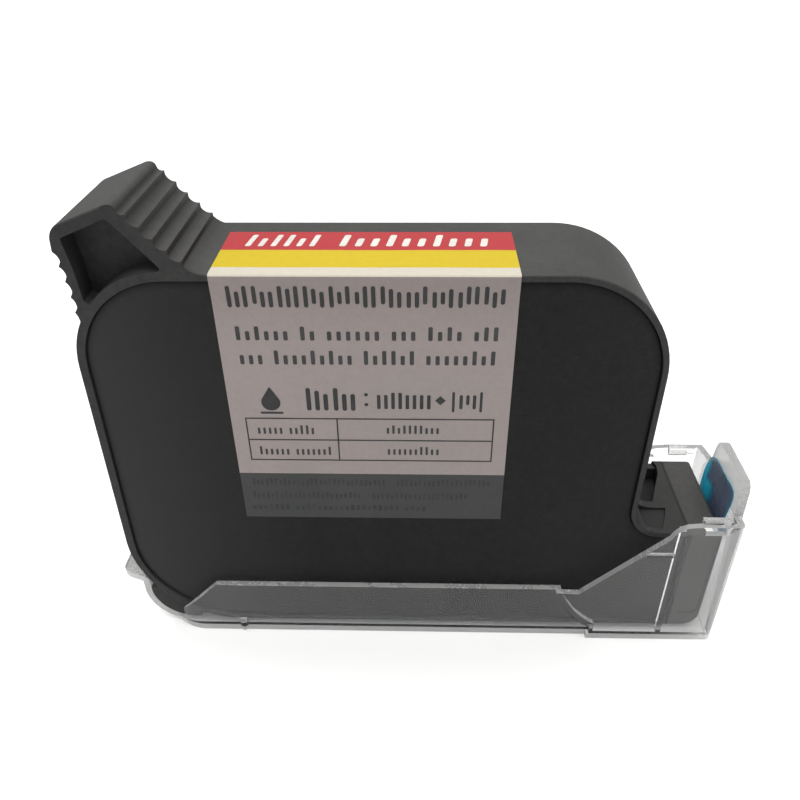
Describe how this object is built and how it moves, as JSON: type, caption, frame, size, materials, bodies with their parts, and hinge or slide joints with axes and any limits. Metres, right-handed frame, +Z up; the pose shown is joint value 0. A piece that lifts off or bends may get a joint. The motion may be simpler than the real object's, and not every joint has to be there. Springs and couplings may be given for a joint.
{
  "type": "inkjet print cartridge with protective tray",
  "caption": "Thermal inkjet print cartridge with side handle, spring-bag ink case, nozzle snout with pull tape, and clear protective tray that clips on below.",
  "frame": {"origin": "centre of the footprint, on the surface that the clear tray rests on", "axes": "+X towards the nozzle end, +Y towards the side without the label, +Z up"},
  "size_m": [0.1072, 0.025, 0.0797],
  "materials": {
    "clear_plastic": "clear polished polystyrene",
    "case_plastic": "black, fine moulded texture",
    "cover_plastic": "black, very fine matt texture",
    "nose_plastic": "dark grey, satin",
    "liner_plastic": "natural, satin",
    "ink_film": "translucent laminated film",
    "stainless_steel": "rolled",
    "spring_steel": "blued",
    "screen_mesh": "fine woven mesh",
    "seal_rubber": "matt",
    "silicon": "polished",
    "nozzle_metal": "gold plated nickel",
    "encapsulant": "glossy epoxy",
    "polyimide": "amber film",
    "gold": "plated",
    "label_film": "printed, satin",
    "tape_blue": "thin glossy film"
  },
  "bodies": {
    "tray": {"clear_tray": "clear_plastic"},
    "cartridge": {"case_frame": "case_plastic", "front_cover": "cover_plastic", "back_cover": "cover_plastic", "inner_liner": "liner_plastic", "front_ink_film": "ink_film", "back_ink_film": "ink_film", "bow_spring": "spring_steel", "filter_carrier": "liner_plastic", "front_filter_screen": "screen_mesh", "back_filter_screen": "screen_mesh", "outlet_seal": "seal_rubber", "nose_piece": "nose_plastic", "printhead_die": "silicon", "nozzle_plate": "nozzle_metal", "encapsulant_beads": "encapsulant", "flex_circuit": "polyimide", "contact_pads": "gold", "fill_plug": "stainless_steel", "wrap_label": "label_film"},
    "front_plate": {"front_pressure_plate": "stainless_steel", "front_edge_guard": "ink_film"},
    "back_plate": {"back_pressure_plate": "stainless_steel", "back_edge_guard": "ink_film"},
    "tape": {"nozzle_tape": "tape_blue"}
  },
  "joints": [
    {"name": "cartridge_lift", "type": "slide", "parent": "tray", "child": "cartridge", "axis": [0, 0, 1], "range_m": [0, 0.034]},
    {"name": "tape_peel", "type": "slide", "parent": "cartridge", "child": "tape", "axis": [0, 0, 1], "range_m": [0, 0.026]},
    {"name": "front_plate_travel", "type": "slide", "parent": "cartridge", "child": "front_plate", "axis": [0, 1, 0], "range_m": [0, 0.0056], "stiffness_N_per_m": 20, "springref_m": -0.004, "deforming": ["bow_spring", "front_ink_film"]},
    {"name": "back_plate_travel", "type": "slide", "parent": "cartridge", "child": "back_plate", "axis": [0, -1, 0], "range_m": [0, 0.0056], "stiffness_N_per_m": 20, "springref_m": -0.004, "deforming": ["back_ink_film"]}
  ],
  "couplings": [
    {"joint": "back_plate_travel", "follows": "front_plate_travel", "ratio": 1}
  ]
}
